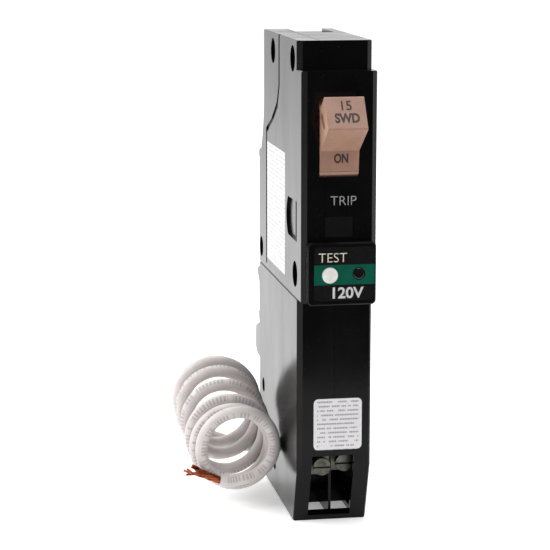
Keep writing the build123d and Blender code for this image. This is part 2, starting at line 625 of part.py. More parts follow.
def current_transformer():
    """Toroid round both straps: core inside its winding."""
    middle = (-1.5, 23.5)
    with BuildPart() as core:
        deep_rod(middle[0], (28.0, 31.6), middle[1], 5.5)
        deep_rod(middle[0], (27, 33), middle[1], 4.3, Mode.SUBTRACT)
    save(core, "toroid_core")
    with BuildPart() as winding:
        deep_rod(middle[0], (27.2, 32.4), middle[1], 6.3)
        deep_rod(middle[0], (27, 33), middle[1], 3.5, Mode.SUBTRACT)
        deep_rod(middle[0], (27.9, 31.7), middle[1], 5.6, Mode.SUBTRACT)
        deep_rod(middle[0], (27.9, 31.7), middle[1], 4.2)
        deep_rod(middle[0], (27, 33), middle[1], 3.5, Mode.SUBTRACT)
    save(winding, "toroid_winding")


def electronics():
    """Circuit board in the left compartment, with its larger components."""
    with BuildPart() as board:
        block((-7.2, -6.2), (9.5, 45.0), (62.0, 96.0))
    save(board, "circuit_board")
    with BuildPart() as components:
        block((-6.2, -5.0), (14.0, 19.0), (74.0, 79.0))
        block((-6.2, -5.2), (22.0, 25.0), (66.0, 69.0))
        block((-6.2, -5.0), (34.0, 38.0), (84.0, 90.0))
        block((-6.2, -4.7), (24.0, 31.0), (74.0, 79.0))
        block((-6.2, -4.7), (24.0, 29.0), (82.0, 86.0))
    save(components, "board_components")
    with BuildPart() as varistor:
        cross_rod((-6.2, -4.6), (38.0, 72.0), 4.5)
    save(varistor, "varistor")


# ---------------------------------------------------------------- neutral pigtail

def cord_gland():
    """Tapered bushing in the left side."""
    with BuildPart() as gland:
        cross_rod((LEFT - 0.8, LEFT), CORD_EXIT, 3.3)
        cross_rod((LEFT, LEFT + WALL + 0.6), CORD_EXIT, 2.6)
        with BuildSketch(side(LEFT - 0.8)) as root:
            with Locations(CORD_EXIT):
                Circle(2.7)
        with BuildSketch(side(LEFT - 3.0)) as tip:
            with Locations(CORD_EXIT):
                Circle(2.1)
        loft([tip.sketch, root.sketch])
    save(gland, "cord_gland")


def tube(name, points, diameter):
    """A cable along straight runs joined by arcs as large as the runs allow."""
    corners = [Vector(*point) for point in points]
    radii = []
    for before, corner, after in zip(corners, corners[1:], corners[2:]):
        turn = (corner - before).get_angle(after - corner)
        shorter = min((corner - before).length, (after - corner).length)
        radii.append(0.45 * shorter / tan(radians(turn) / 2))
    with BuildPart() as cable:
        with BuildLine() as path:
            FilletPolyline(*points, radius=radii)
        with BuildSketch(Plane(origin=path.line @ 0, z_dir=path.line % 0)):
            Circle(diameter / 2)
        sweep()
    length = path.wire().length
    expected = pi * diameter ** 2 / 4 * length
    print(name, "radii", [round(radius, 1) for radius in radii], "length", round(length, 1),
          "volume ratio", round(cable.part.volume / expected, 4))
    save(cable, name)


def neutral_cord():
    """White neutral wire: lead from the gland, coil, and bare copper end."""
    depth, height = CORD_EXIT
    tube("neutral_cord", ((LEFT - 3.0, FRONT + depth, height), (-16.4, FRONT + depth, height),
                          (-20.0, FRONT + depth + 0.8, height + 0.5)), CORD_DIAMETER)
    with BuildPart() as coil:
        with BuildSketch(face(COIL_REAR[1])) as rear:
            with Locations((COIL_REAR[0], COIL_REAR[2])):
                Ellipse(COIL_REAR[3], COIL_REAR[4])
        with BuildSketch(face(COIL_FRONT[1])) as front:
            with Locations((COIL_FRONT[0], COIL_FRONT[2])):
                Ellipse(COIL_FRONT[3], COIL_FRONT[4])
        loft([rear.sketch, front.sketch])
    save(coil, "cord_coil")
    with BuildPart() as copper:
        start = Vector(-25.4, FRONT + 20.6, 2.2)
        direction = Vector(-9.2, -0.6, 3.2)
        with BuildSketch(Plane(origin=start, z_dir=direction)):
            Circle(1.25)
        extrude(amount=direction.length)
    save(copper, "copper_end")
    with BuildPart() as lead:
        with BuildLine() as path:
            FilletPolyline((LEFT + WALL + 0.6, FRONT + depth, height), (-2.0, FRONT + depth, height),
                           (-0.1, FRONT + 39.0, 17.0), (-0.1, FRONT + 38.6, 22.5), radius=2.5)
        with BuildSketch(Plane(origin=path.line @ 0, z_dir=path.line % 0)):
            Circle(1.2)
        sweep()
    save(lead, "neutral_lead")


os.makedirs("parts", exist_ok=True)
base_shell()
upper_cover()
lower_cover()
divider()
rivets()
bezel()
nameplate()
test_button()
button_spring()
switch_board()
trip_window()
labels()
handle()
contact_arm()
toggle_spring()
cradle()
latch()
line_terminal()
arc_chute()
trip_unit()
solenoid()
terminal(1)
terminal(2)
straps()
current_transformer()
electronics()
cord_gland()
neutral_cord()
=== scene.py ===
"""Looks of a narrow plug-on ground-fault circuit breaker with a coiled neutral pigtail.

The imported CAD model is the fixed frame.  Its mouldings and metalwork get their finishes here, and the
printing, the wire and its copper strands are made round it.  Everything is in metres, with X across the
breaker's width, Y from the handle towards the panel and Z up.
"""

import bpy
import json
from math import cos, pi, radians, sin
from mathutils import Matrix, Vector


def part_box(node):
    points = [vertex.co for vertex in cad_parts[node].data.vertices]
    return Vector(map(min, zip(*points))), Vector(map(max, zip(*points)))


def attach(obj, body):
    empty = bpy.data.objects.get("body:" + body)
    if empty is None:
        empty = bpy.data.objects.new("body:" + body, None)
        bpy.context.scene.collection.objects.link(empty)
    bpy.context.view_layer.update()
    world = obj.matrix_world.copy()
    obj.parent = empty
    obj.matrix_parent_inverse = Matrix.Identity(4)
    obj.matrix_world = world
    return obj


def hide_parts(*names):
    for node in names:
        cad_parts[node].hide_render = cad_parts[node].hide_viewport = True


bl_info = {
    "name": "Plug-on breaker looks",
    "version": (1, 0, 0),
    "blender": (4, 5, 0),
    "location": "3D View > Sidebar > Breaker",
    "description": "Finishes, printing, pigtail and studio for a narrow ground-fault circuit breaker",
    "category": "Object",
}

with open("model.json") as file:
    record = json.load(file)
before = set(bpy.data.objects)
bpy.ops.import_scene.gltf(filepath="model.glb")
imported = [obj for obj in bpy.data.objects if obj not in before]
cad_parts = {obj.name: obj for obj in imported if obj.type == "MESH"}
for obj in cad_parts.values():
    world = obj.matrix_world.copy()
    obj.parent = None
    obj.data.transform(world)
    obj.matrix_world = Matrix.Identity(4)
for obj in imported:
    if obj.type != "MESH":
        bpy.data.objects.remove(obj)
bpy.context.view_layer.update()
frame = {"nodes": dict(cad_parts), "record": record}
NODES = frame["nodes"]
MM = 0.001
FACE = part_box("front_label")[0].y                 # Y of the lower front face
WIRE_FACETS = 5                                   # bevel resolution of the wire
LAST_TURN_LIFT = 3.3                              # mm a turn that the last turn and a half rises
HANDLE_TILT = 54.1                                # degrees, the handle's upper facet
SKIRT_TILT = 97.2                                 # degrees, the skirt under it
UPRIGHT = 90                                      # degrees, the front faces
STRANDS = 9
FLOOR_SIZE = 3.2
FLOOR_PLACE = (0, 1.42, -0.05 * MM)               # the floor starts just in front of the breaker
CAMERA_PLACE = (-0.09959, -0.51081, 0.15586)
CAMERA_TURN = (pi / 2 - 0.180, 0, -0.1717)
SLOT_OF = {part["node"]: part["material_slot"] for part in frame["record"]["subparts"]}


# ---------------------------------------------------------------- sizes and colours

class BreakerPrinting(bpy.types.PropertyGroup):
    """Sizes of the printed words and numbers, as font sizes."""
    rating: bpy.props.FloatProperty(
        name="Rating number", description="Font size of the number on the handle",
        default=3.7 * MM, unit="LENGTH")
    duty: bpy.props.FloatProperty(
        name="Duty letters", description="Font size of the letters under the number",
        default=3.5 * MM, unit="LENGTH")
    state: bpy.props.FloatProperty(
        name="State word", description="Font size of the word on the handle's skirt",
        default=3.2 * MM, unit="LENGTH")
    front: bpy.props.FloatProperty(
        name="Front words", description="Font size of the words on the front",
        default=3.4 * MM, unit="LENGTH")
    ink: bpy.props.FloatProperty(
        name="Ink thickness", description="How far the ink stands proud",
        default=0.03 * MM, unit="LENGTH")


class BreakerPigtail(bpy.types.PropertyGroup):
    """The neutral wire: its size, its turns and its bared end."""
    diameter: bpy.props.FloatProperty(
        name="Wire diameter", description="Over the insulation",
        default=3.3 * MM, unit="LENGTH")
    points: bpy.props.IntProperty(
        name="Points a turn", description="Control points on each turn of the coil", default=16, min=12)
    strand: bpy.props.FloatProperty(
        name="Strand diameter", description="One strand of the bared end",
        default=0.62 * MM, unit="LENGTH")
    bared: bpy.props.FloatProperty(
        name="Bared length", description="Copper showing past the insulation",
        default=10.0 * MM, unit="LENGTH")


class BreakerColours(bpy.types.PropertyGroup):
    """Colours as sRGB hex values."""
    case: bpy.props.StringProperty(name="Case", description="Moulded case", default="#070708")
    handle: bpy.props.StringProperty(name="Handle", description="Moulded handle", default="#A8826F")
    ink: bpy.props.StringProperty(name="Handle ink", description="Printing on the handle", default="#3B2019")
    stripe: bpy.props.StringProperty(
        name="Stripe", description="Band across the nameplate", default="#004E3D")
    wire: bpy.props.StringProperty(name="Wire", description="Insulation of the pigtail", default="#D6D0CE")
    copper: bpy.props.StringProperty(name="Copper", description="Bared strands", default="#A85A3C")


def chosen():
    """The three groups of settings."""
    scene = bpy.context.scene
    return scene.breaker_printing, scene.breaker_pigtail, scene.breaker_colours


# ---------------------------------------------------------------- helpers

def at(x, depth, height):
    """A point from millimetres: X, depth behind the lower front face, and height."""
    return Vector((x * MM, FACE + depth * MM, height * MM))


def linear(colour, alpha=1.0):
    """An sRGB hex colour as linear values."""
    parts = [int(colour[i:i + 2], 16) / 255 for i in (1, 3, 5)]
    return [p / 12.92 if p <= 0.04045 else ((p + 0.055) / 1.055) ** 2.4 for p in parts] + [alpha]


def add(tree, kind, sockets=None, **settings):
    """Add a node with its settings, and set or link its sockets by name or number."""
    node = tree.nodes.new(kind)
    for name, value in settings.items():
        setattr(node, name, value)
    for socket, value in (sockets or {}).items():
        if isinstance(value, bpy.types.NodeSocket):
            tree.links.new(value, node.inputs[socket])
        else:
            node.inputs[socket].default_value = value
    return node


def begin(name, **fixed):
    """A new material: its tree, its shader with the fixed socket values, and object coordinates."""
    material = bpy.data.materials.new(name)
    material.use_nodes = True
    tree = material.node_tree
    shader = tree.nodes["Principled BSDF"]
    for socket, value in fixed.items():
        shader.inputs[socket.replace("_", " ")].default_value = value
    place = add(tree, "ShaderNodeTexCoord").outputs["Object"]
    return material, tree, shader, place


def blend(tree, share, first, second):
    """A colour between two others."""
    mix = add(tree, "ShaderNodeMix", {0: share}, data_type="RGBA")
    for socket, value in ((6, first), (7, second)):
        if isinstance(value, str):
            mix.inputs[socket].default_value = linear(value)
        else:
            tree.links.new(value, mix.inputs[socket])
    return mix.outputs[2]


def grain(tree, place, size_mm, detail=3.0, stretch=(1, 1, 1)):
    """Noise with features of this size, 0 to 1."""
    moved = add(tree, "ShaderNodeMapping", {"Vector": place, "Scale": stretch}).outputs[0]
    noise = add(tree, "ShaderNodeTexNoise", {"Vector": moved, "Scale": 1 / (size_mm * MM), "Detail": detail})
    return noise.outputs["Fac"]


def spread(tree, value, low, high, start=0.3, end=0.7):
    """A value between start and end, moved to between low and high."""
    sockets = {"Value": value, "From Min": start, "From Max": end, "To Min": low, "To Max": high}
    return add(tree, "ShaderNodeMapRange", sockets).outputs[0]


def relief(tree, shader, height, depth_mm, strength=1.0):
    """Bump of a real height on a shader."""
    sockets = {"Height": height, "Distance": depth_mm * MM, "Strength": strength}
    tree.links.new(add(tree, "ShaderNodeBump", sockets).outputs[0], shader.inputs["Normal"])


def surface(tree, shader, colour, rough):
    """Link a shader's colour and roughness."""
    tree.links.new(colour, shader.inputs["Base Color"])
    tree.links.new(rough, shader.inputs["Roughness"])


def maths(tree, operation, *values):
    """One arithmetic step."""
    return add(tree, "ShaderNodeMath", dict(enumerate(values)), operation=operation).outputs[0]


# ---------------------------------------------------------------- materials

def phenolic_moulding():
    """Phenolic resin, compression moulded in a polished tool: black, deep gloss, faint flow mottle."""
    material, tree, shader, place = begin("phenolic_moulding", IOR=1.55, Specular_IOR_Level=0.12)
    mottle = spread(tree, grain(tree, place, 7.0), 0.0, 1.0)
    shade = blend(tree, mottle, chosen()[2].case, "#0C0C0D")
    dust = spread(tree, grain(tree, place, 0.5, 2.0), 0.0, 1.0, 0.70, 0.80)
    dusted = blend(tree, maths(tree, "MULTIPLY", dust, 0.12), shade, "#8C8A88")
    tree.links.new(dusted, shader.inputs["Base Color"])
    smears = grain(tree, place, 12.0, 4.0, (1, 1, 0.35))
    tree.links.new(spread(tree, smears, 0.10, 0.22), shader.inputs["Roughness"])
    relief(tree, shader, grain(tree, place, 1.6, 2.0), 0.012, 0.5)
    return material


def nylon_handle():
    """Glass-filled nylon, injection moulded: pinkish tan, satin, with fine speckle and sparkle."""
    material, tree, shader, place = begin("nylon_handle", IOR=1.53, Specular_IOR_Level=0.45)
    cloud = spread(tree, grain(tree, place, 5.0), 0.0, 1.0)
    base = blend(tree, cloud, chosen()[2].handle, "#9E7865")
    speck = spread(tree, grain(tree, place, 0.35, 2.0), 0.0, 0.35, 0.60, 0.72)
    surface(tree, shader,
            colour=blend(tree, speck, base, "#C4A08F"),
            rough=spread(tree, grain(tree, place, 2.5), 0.34, 0.5))
    relief(tree, shader, grain(tree, place, 0.3, 2.0), 0.01, 0.5)
    return material


def reverse_printed_film():
    """Polyester nameplate film, printed on its back: black with a green band, under a clear gloss."""
    material, tree, shader, place = begin(
        "reverse_printed_film", IOR=1.57, Specular_IOR_Level=0.25, Coat_Weight=0.5, Coat_Roughness=0.05)
    height = add(tree, "ShaderNodeSeparateXYZ", {0: place}).outputs["Z"]
    edges = (64.6 * MM, 69.6 * MM)
    above = spread(tree, height, 0.0, 1.0, edges[0] - 0.03 * MM, edges[0] + 0.03 * MM)
    below = spread(tree, height, 1.0, 0.0, edges[1] - 0.03 * MM, edges[1] + 0.03 * MM)
    band = maths(tree, "MULTIPLY", above, below)
    green = blend(tree, spread(tree, grain(tree, place, 3.0), 0.0, 1.0), chosen()[2].stripe, "#005744")
    surface(tree, shader,
            colour=blend(tree, band, "#0B0B0C", green),
            rough=spread(tree, grain(tree, place, 2.0), 0.12, 0.24))
    relief(tree, shader, grain(tree, place, 0.5, 2.0), 0.003, 0.4)
    return material


def thermal_printed_paper():
    """Coated label paper, thermal printed: white, satin, with rows of small grey type and its fibre."""
    material, tree, shader, place = begin("thermal_printed_paper", IOR=1.46, Specular_IOR_Level=0.35)
    axes = add(tree, "ShaderNodeSeparateXYZ", {0: place}).outputs
    pitch = 1.15 * MM
    row = maths(tree, "DIVIDE", axes["Z"], pitch)
    number = maths(tree, "FLOOR", row)
    in_row = maths(tree, "COMPARE", maths(tree, "FRACT", row), 0.5, 0.19)
    # Words run across the front label and, on the side label, along the depth
    along = maths(tree, "ADD", axes["X"], axes["Y"])
    across = maths(tree, "DIVIDE", along, 1.3 * MM)
    seed = add(tree, "ShaderNodeCombineXYZ", {0: across, 1: maths(tree, "MULTIPLY", number, 7.3)})
    noise = add(tree, "ShaderNodeTexNoise", {"Vector": seed.outputs[0], "Scale": 1.0, "Detail": 1.0})
    word = maths(tree, "GREATER_THAN", noise.outputs["Fac"], 0.44)
    letters = maths(tree, "FRACT", maths(tree, "DIVIDE", along, 0.42 * MM))
    stroke = maths(tree, "MULTIPLY", word, maths(tree, "LESS_THAN", letters, 0.72))
    low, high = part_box("front_label")
    # The side label is printed more faintly
    cover = spread(tree, axes["X"], 0.38, 0.72, low.x - 2 * MM, low.x)
    ink = maths(tree, "MULTIPLY", maths(tree, "MULTIPLY", stroke, in_row), cover)
    margin = 0.9 * MM
    inside = maths(tree, "COMPARE", axes["X"], (low.x + high.x) / 2, (high.x - low.x) / 2 - margin)
    inside = maths(tree, "MAXIMUM", inside, maths(tree, "LESS_THAN", axes["X"], low.x - 2 * MM))
    fibre = blend(tree, spread(tree, grain(tree, place, 0.6), 0.0, 1.0), "#DDDBDD", "#D2D0D2")
    surface(tree, shader,
            colour=blend(tree, maths(tree, "MULTIPLY", ink, inside), fibre, "#4A494C"),
            rough=spread(tree, grain(tree, place, 1.5), 0.42, 0.55))
    relief(tree, shader, grain(tree, place, 0.25, 2.0), 0.004, 0.5)
    return material


def button_abs():
    """ABS, injection moulded with a fine satin texture: warm white."""
    material, tree, shader, place = begin(
        "button_abs", IOR=1.54, Subsurface_Weight=0.15, Subsurface_Scale=0.5 * MM)
    surface(tree, shader,
            colour=blend(tree, spread(tree, grain(tree, place, 1.2), 0.0, 1.0), "#EFEDE8", "#DEDBD5"),
            rough=spread(tree, grain(tree, place, 0.8), 0.3, 0.42))
    relief(tree, shader, grain(tree, place, 0.2, 2.0), 0.006, 0.5)
    return material


def smoked_polycarbonate():
    """Polycarbonate, injection moulded and tinted nearly black: mirror gloss with a grey cast."""
    material, tree, shader, place = begin(
        "smoked_polycarbonate", IOR=1.585, Coat_Weight=0.3, Coat_Roughness=0.03, Specular_IOR_Level=0.35)
    surface(tree, shader,
            colour=blend(tree, spread(tree, grain(tree, place, 2.0), 0.0, 1.0), "#040405", "#08080A"),
            rough=spread(tree, grain(tree, place, 1.5), 0.05, 0.12))
    relief(tree, shader, grain(tree, place, 1.0, 2.0), 0.003, 0.4)
    return material


def zinc_plate():
    """Steel, zinc plated after stamping or turning: dull olive grey, darkened further with painted shade for
    the terminal recesses; tumbled scratches, cloudy gloss.
    """
    material, tree, shader, place = begin("zinc_plate", Metallic=1.0)
    cloud = spread(tree, grain(tree, place, 1.8), 0.0, 1.0)
    scratches = grain(tree, place, 0.35, 4.0, (1, 1, 8))
    # Painted shade: these greys are darker than the dull plated zinc itself, to stand in for the shade inside
    # the terminal recesses
    base = blend(tree, cloud, "#5E5F57", "#44443C")
    grime = spread(tree, grain(tree, place, 0.9, 5.0), 0.0, 0.5, 0.55, 0.75)
    surface(tree, shader,
            colour=blend(tree, grime, base, "#2E2C26"),
            rough=spread(tree, scratches, 0.22, 0.42))
    relief(tree, shader, scratches, 0.006, 0.5)
    return material


def drawn_copper():
    """Copper, drawn and left bare: salmon where bright, brown where tarnished, fine drawing lines."""
    material, tree, shader, place = begin("drawn_copper", Metallic=1.0)
    tarnish = spread(tree, grain(tree, place, 1.4, 4.0), 0.0, 1.0, 0.4, 0.65)
    surface(tree, shader,
            colour=blend(tree, tarnish, chosen()[2].copper, "#6E3320"),
            rough=spread(tree, grain(tree, place, 0.5), 0.25, 0.45))
    relief(tree, shader, grain(tree, place, 0.12, 2.0, (1, 6, 6)), 0.004, 0.5)
    return material


def silver_alloy():
    """Silver alloy contact, brazed on: pale, softly pitted by the arc."""
    material, tree, shader, place = begin("silver_alloy", Metallic=1.0)
    pits = grain(tree, place, 0.4, 4.0)
    surface(tree, shader,
            colour=blend(tree, spread(tree, pits, 0.0, 1.0), "#E2E0DC", "#9C9890"),
            rough=spread(tree, pits, 0.25, 0.5))
    relief(tree, shader, pits, 0.02, 0.6)
    return material


def rolled_bimetal():
    """Bimetal strip, cold rolled: grey-gold with grain along its length."""
    material, tree, shader, place = begin("rolled_bimetal", Metallic=1.0)
    lines = grain(tree, place, 0.5, 3.0, (6, 6, 0.4))
    surface(tree, shader,
            colour=blend(tree, spread(tree, lines, 0.0, 1.0), "#B0A890", "#8C8674"),
            rough=spread(tree, lines, 0.25, 0.4))
    relief(tree, shader, lines, 0.004, 0.5)
    return material


def enamelled_winding():
    """Copper wire, enamelled and wound side by side: amber gloss over ridges one wire apart."""
    material, tree, shader, place = begin(
        "enamelled_winding", Metallic=0.8, Coat_Weight=0.6, Coat_Roughness=0.1)
    depth = add(tree, "ShaderNodeSeparateXYZ", {0: place}).outputs["Y"]
    ridge = maths(tree, "SINE", maths(tree, "MULTIPLY", depth, 2 * pi / (0.25 * MM)))
    cloud = spread(tree, grain(tree, place, 1.5), 0.0, 1.0)
    surface(tree, shader,
            colour=blend(tree, cloud, "#A5552B", "#7E3A1A"),
            rough=spread(tree, ridge, 0.2, 0.35, -1.0, 1.0))
    relief(tree, shader, ridge, 0.06, 0.8)
    return material


def vulcanised_fibre():
    """Vulcanised fibre sheet, die cut: red-brown, matt, with its long paper fibres."""
    material, tree, shader, place = begin("vulcanised_fibre", IOR=1.5)
    fibres = grain(tree, place, 0.6, 4.0, (1, 1, 0.15))
    surface(tree, shader,
            colour=blend(tree, spread(tree, fibres, 0.0, 1.0), "#7B4A36", "#5C3424"),
            rough=spread(tree, fibres, 0.6, 0.8))
    relief(tree, shader, fibres, 0.01, 0.5)
    return material


def glass_epoxy_board():
    """Glass and epoxy laminate with solder mask: green, glossy, with the weave and traces under it."""
    material, tree, shader, place = begin("glass_epoxy_board", IOR=1.55)
    axes = add(tree, "ShaderNodeSeparateXYZ", {0: place}).outputs
    tracks = add(tree, "ShaderNodeTexVoronoi", {"Vector": place, "Scale": 1 / (4 * MM)}, distance="MANHATTAN")
    trace = maths(tree, "COMPARE", tracks.outputs["Distance"], 0.55, 0.08)
    weave = maths(tree, "SINE", maths(tree, "MULTIPLY", axes["Z"], 2 * pi / (0.8 * MM)))
    green = blend(tree, spread(tree, weave, 0.0, 0.4, -1.0, 1.0), "#155232", "#1F6A42")
    surface(tree, shader,
            colour=blend(tree, trace, green, "#3C8A5C"),
            rough=spread(tree, grain(tree, place, 1.0), 0.25, 0.4))
    relief(tree, shader, trace, 0.03, 0.6)
    return material


def cast_epoxy(name, light, dark, rough):
    """Epoxy or resin body, dipped or transfer moulded: one colour with a faint cloud and dimples."""
    material, tree, shader, place = begin(name, IOR=1.55)
    cloud = spread(tree, grain(tree, place, 1.5), 0.0, 1.0)
    surface(tree, shader,
            colour=blend(tree, cloud, light, dark),
            rough=spread(tree, grain(tree, place, 0.8), rough, rough + 0.15))
    relief(tree, shader, grain(tree, place, 0.3, 2.0), 0.01, 0.5)
    return material


def extruded_pvc():
    """PVC insulation, extruded over the strands: pinkish white, soft gloss, faint surface printing."""
    material, tree, shader, place = begin(
        "extruded_pvc", IOR=1.53, Subsurface_Weight=0.2, Subsurface_Scale=1.0 * MM, Specular_IOR_Level=0.4)
    cloud = spread(tree, grain(tree, place, 4.0), 0.0, 1.0)
    base = blend(tree, cloud, chosen()[2].wire, "#CAC4C2")
    along = add(tree, "ShaderNodeAttribute", attribute_name="along").outputs["Fac"]
    around = add(tree, "ShaderNodeAttribute", attribute_name="around").outputs["Fac"]
    # One line of small generic type down one side of the wire: words, letters and strokes
    cell = maths(tree, "FLOOR", maths(tree, "DIVIDE", along, 0.62 * MM))
    seed = add(tree, "ShaderNodeCombineXYZ", {0: cell})
    noise = add(tree, "ShaderNodeTexNoise", {"Vector": seed.outputs[0], "Scale": 0.29, "Detail": 1.0})
    word = maths(tree, "GREATER_THAN", noise.outputs["Fac"], 0.46)
    letter = maths(tree, "FRACT", maths(tree, "DIVIDE", along, 0.95 * MM))
    stroke = maths(tree, "MULTIPLY", word, maths(tree, "LESS_THAN", letter, 0.6))
    line = maths(tree, "COMPARE", around, 0.62, 0.08)
    ink = maths(tree, "MULTIPLY", maths(tree, "MULTIPLY", stroke, line), 0.5)
    surface(tree, shader,
            colour=blend(tree, ink, base, "#8E8688"),
            rough=spread(tree, grain(tree, place, 2.0), 0.3, 0.44))
    relief(tree, shader, grain(tree, place, 1.2, 2.0), 0.02, 0.4)
    return material


def pad_printed_ink(name, light, dark):
    """Pad-printed ink: thin, matt, a little uneven in cover."""
    return cast_epoxy(name, light, dark, 0.45)


FINISHES = {
    "case_moulding": phenolic_moulding,
    "handle_moulding": nylon_handle,
    "nameplate_film": reverse_printed_film,
    "paper_label": thermal_printed_paper,
    "button_moulding": button_abs,
    "smoked_window": smoked_polycarbonate,
    "zinc_plated_steel": zinc_plate,
    "bare_copper": drawn_copper,
    "silver_contact": silver_alloy,
    "bimetal_strip": rolled_bimetal,
    "enamelled_wire": enamelled_winding,
    "fibre_sheet": vulcanised_fibre,
    "board_laminate": glass_epoxy_board,
    "wire_insulation": extruded_pvc,
    "led_lens": lambda: cast_epoxy("diffused_led", "#B03024", "#8E2018", 0.2),
    "component_moulding": lambda: cast_epoxy("transfer_moulded_epoxy", "#1C1C1D", "#121213", 0.5),
    "varistor_coating": lambda: cast_epoxy("dipped_epoxy", "#2A4E9C", "#203E80", 0.2),
    "bobbin_nylon": lambda: cast_epoxy("natural_nylon", "#E2DCCB", "#D2CAB6", 0.4),
    "ferrite": lambda: cast_epoxy("sintered_ferrite", "#2B2B2E", "#1E1E20", 0.7),
}


def finish(slots):
    """Give every CAD node of these material slots its finish."""
    for slot in slots:
        material = FINISHES[slot]()
        for name, node in NODES.items():
            if SLOT_OF[name] == slot:
                node.data.materials.clear()
                node.data.materials.append(material)


# ---------------------------------------------------------------- pieces

def settle(piece, body, material):
    """Put a finished piece's place in its mesh, give it its finish, and let it ride."""
    bpy.ops.object.select_all(action="DESELECT")
    piece.select_set(True)
    bpy.context.view_layer.objects.active = piece
    bpy.ops.object.transform_apply(location=True, rotation=True, scale=True)
    piece.data.materials.clear()
    piece.data.materials.append(material)
    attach(piece, body)


def printed(name, words, size, middle, tilt, body, material, narrow=1.0, bold=0.0):
    """A word printed on a face: its middle, and the face's tilt about X, 90 for an upright front face."""
    bpy.ops.object.select_all(action="DESELECT")
    bpy.ops.object.text_add()
    text = bpy.context.object
    text.name = name
    text.data.body = words
    text.data.size = size
    text.data.align_x = "CENTER"
    text.data.align_y = "CENTER"
    text.data.extrude = chosen()[0].ink / 2
    text.data.offset = bold * size
    text.data.resolution_u = 6
    bpy.ops.object.convert(target="MESH")
    text.location = middle
    text.rotation_euler = (radians(tilt), 0, 0)
    text.scale.x = narrow
    settle(text, body, material)


def wire_route():
    """Control points of the pigtail: lead, six uneven turns by loop, and the last straight stretch."""
    pigtail = chosen()[1]
    lead = [(-12.5, 43.5, 10.4), (-16.4, 43.5, 10.4), (-20.0, 44.6, 11.2)]
    rear, front = Vector((-23.8, 45.2, 23.4)), Vector((-21.4, 21.0, 12.55))
    radius = 10.3
    steps = pigtail.points
    # How far along the coil each turn's top lies: the turns are not evenly spaced
    tops = (0.0, 0.16, 0.39, 0.64, 0.775, 1.0)
    swell = (1.0, 1.02, 0.985, 1.01, 1.0, 0.93)
    turns = []
    for step in range(1, len(tops) * steps + 1):
        turn = step / steps
        index = min(max(int(turn - 0.5), 0), len(tops) - 2)
        share = tops[index] + (tops[index + 1] - tops[index]) * (turn - 0.5 - index)
        share = min(max(share, -0.05), 1.0)
        middle = rear.lerp(front, share)
        angle = 2 * pi * turn
        whole = min(int(turn), len(tops) - 1)
        after = min(whole + 1, len(tops) - 1)
        size = radius * (swell[whole] + (swell[after] - swell[whole]) * (turn - whole))
        size /= cos(pi / steps)
        lift = LAST_TURN_LIFT * max(turn - len(tops) + 1.5, 0)
        turns.append((middle.x - size * sin(angle), middle.y, middle.z + lift - 1.03 * size * cos(angle)))
    end = [(-24.2, 20.8, 7.0), (-26.6, 20.6, 7.6)]
    return [at(*point) for point in lead + turns + end]


def spline_piece(name, routes, radius, order=3):
    """A round bar or several along smooth open splines."""
    curve = bpy.data.curves.new(name, "CURVE")
    curve.dimensions = "3D"
    curve.bevel_depth = radius
    curve.bevel_resolution = WIRE_FACETS
    curve.resolution_u = 5
    curve.use_fill_caps = True
    for route in routes:
        spline = curve.splines.new("NURBS")
        spline.points.add(len(route) - 1)
        for point, place in zip(spline.points, route):
            point.co = (*place, 1)
        spline.order_u = order
        spline.use_endpoint_u = True
    piece = bpy.data.objects.new(name, curve)
    bpy.context.scene.collection.objects.link(piece)
    return piece


def centreline(piece):
    """The points of a curve's own line."""
    line = piece.copy()
    line.data = piece.data.copy()
    line.data.bevel_depth = 0
    mesh = bpy.data.meshes.new_from_object(line)
    points = [vertex.co.copy() for vertex in mesh.vertices]
    bpy.data.curves.remove(line.data)
    return points


# ---------------------------------------------------------------- operators

class BREAKER_OT_case(bpy.types.Operator):
    """Finish the case mouldings, the bezel and the bushing"""
    bl_idname = "breaker.case"
    bl_label = "Case mouldings"

    def execute(self, context):
        finish(("case_moulding",))
        return {"FINISHED"}


class BREAKER_OT_front(bpy.types.Operator):
    """Finish the nameplate, labels, button, lens and window"""
    bl_idname = "breaker.front"
    bl_label = "Front trim"

    def execute(self, context):
        finish(("nameplate_film", "paper_label", "button_moulding", "smoked_window", "led_lens"))
        return {"FINISHED"}


class BREAKER_OT_handle(bpy.types.Operator):
    """Finish the handle and print its number and letters"""
    bl_idname = "breaker.handle"
    bl_label = "Handle and its printing"

    def execute(self, context):
        finish(("handle_moulding",))
        printing, _, colours = chosen()
        ink = pad_printed_ink("brown_pad_ink", colours.ink, "#2E1812")
        printed("handle_number", "15", printing.rating, at(-0.2, -12.7, 109.35), HANDLE_TILT,
                "handle", ink, 0.9, 0.012)
        printed("handle_duty", "SWD", printing.duty, at(-0.1, -14.68, 106.5), HANDLE_TILT,
                "handle", ink, 0.78, 0.045)
        printed("handle_state", "ON", printing.state, at(0.2, -6.08, 95.7), SKIRT_TILT,
                "handle", ink, 0.72, 0.03)
        return {"FINISHED"}


class BREAKER_OT_words(bpy.types.Operator):
    """Print the words on the nose and on the nameplate"""
    bl_idname = "breaker.words"
    bl_label = "Words on the front"

    def execute(self, context):
        size = chosen()[0].front
        grey = pad_printed_ink("grey_pad_ink", "#A4A4A6", "#8E8E90")
        pale = pad_printed_ink("pale_screen_ink", "#CFCFD0", "#BDBDBE")
        cream = pad_printed_ink("cream_screen_ink", "#E0D9C2", "#CFC7AE")
        printed("word_trip", "TRIP", size, at(0.95, -5.5, 85.1), UPRIGHT,
                "root", grey, 1.0, -0.012)
        printed("word_test", "TEST", size, at(-2.2, -8.15, 71.3), UPRIGHT,
                "root", cream, 1.0, -0.01)
        printed("supply_voltage", "120V", 1.12 * size, at(1.3, -8.15, 62.4), UPRIGHT,
                "root", pale, 1.05, 0.025)
        return {"FINISHED"}


